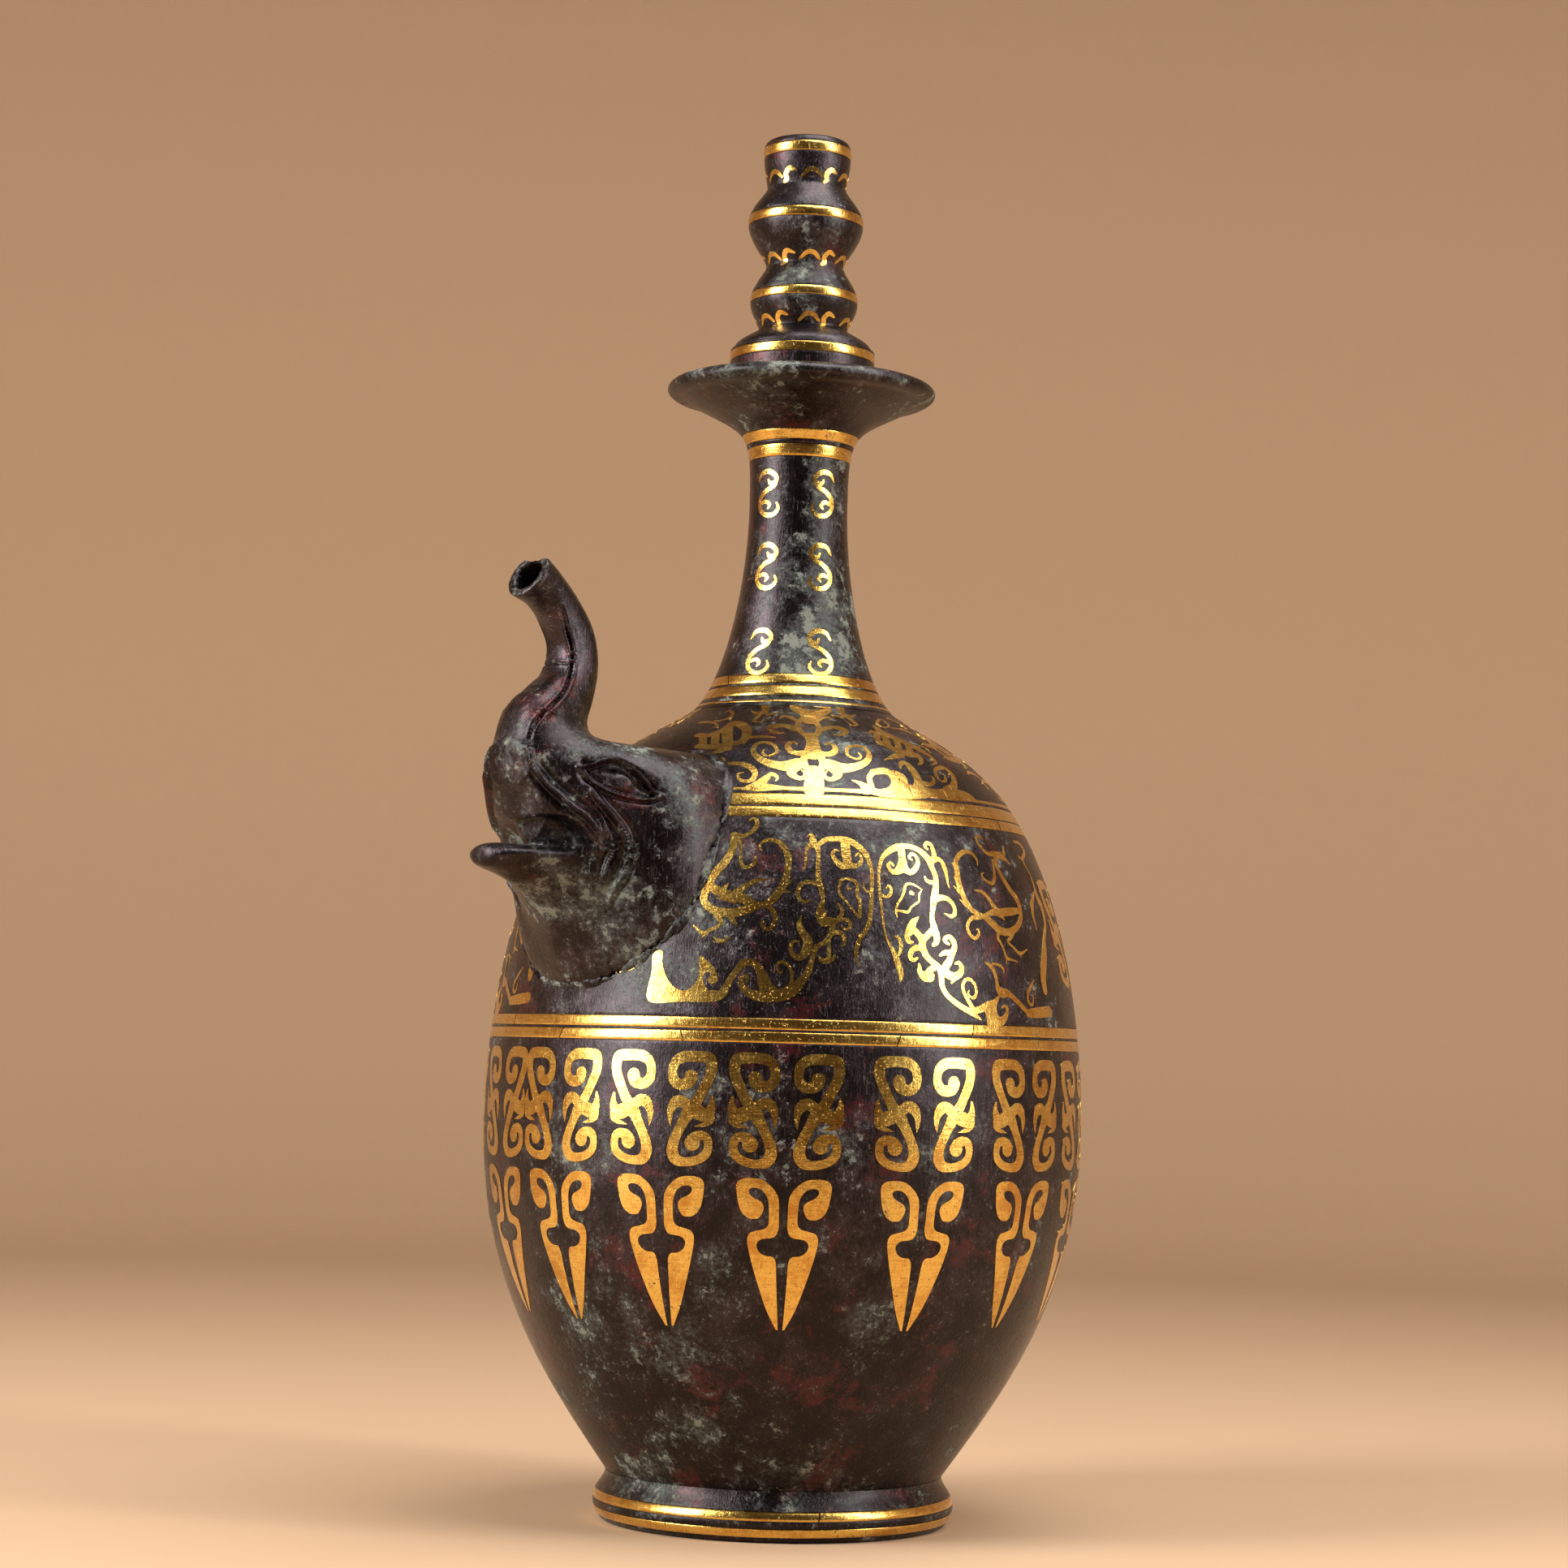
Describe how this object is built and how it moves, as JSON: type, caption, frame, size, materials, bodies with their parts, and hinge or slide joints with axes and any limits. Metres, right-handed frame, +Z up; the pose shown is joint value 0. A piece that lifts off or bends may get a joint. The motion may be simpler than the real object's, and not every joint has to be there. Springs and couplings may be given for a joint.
{
  "type": "bronze wine pot",
  "caption": "Ovoid bronze wine pot with a long neck, a saucer mouth, a lift-out turned stopper and a pouring spout cast as an elephant's head with a raised trunk, ringed with gold bands.",
  "frame": {"origin": "centre of the flat underside of the foot, on the axis that the pot is turned about", "axes": "+Z up along the pot's axis, the elephant's head and trunk point along -X"},
  "size_m": [0.191, 0.163, 0.3798],
  "materials": {
    "bronze": "dark brown-black waxed bronze with a lilac sheen, fine scratches and grey-green patina",
    "head_bronze": "dark cast bronze with red and grey-green patina and rubbed high places",
    "gold_inlay": "warm gold foil, finely brushed, pitted and darkly worn in places"
  },
  "bodies": {
    "vessel": {"foot_ring": "bronze", "base_plate": "bronze", "pot_body": "bronze", "neck": "bronze", "elephant_head": "head_bronze", "foot_band_lower": "gold_inlay", "foot_band_upper": "gold_inlay", "belly_band_lower": "gold_inlay", "belly_band_upper": "gold_inlay", "shoulder_band_lower": "gold_inlay", "shoulder_band_upper": "gold_inlay", "neck_foot_band_lower": "gold_inlay", "neck_foot_band_upper": "gold_inlay", "neck_top_band_lower": "gold_inlay", "neck_top_band_upper": "gold_inlay"},
    "stopper": {"stopper": "bronze", "stopper_band_drum": "gold_inlay", "stopper_band_lower": "gold_inlay", "stopper_band_upper": "gold_inlay", "stopper_band_crown": "gold_inlay"}
  },
  "joints": [
    {"name": "stopper_lift", "type": "slide", "parent": "vessel", "child": "stopper", "axis": [0, 0, 1], "range_m": [0, 0.06]}
  ]
}
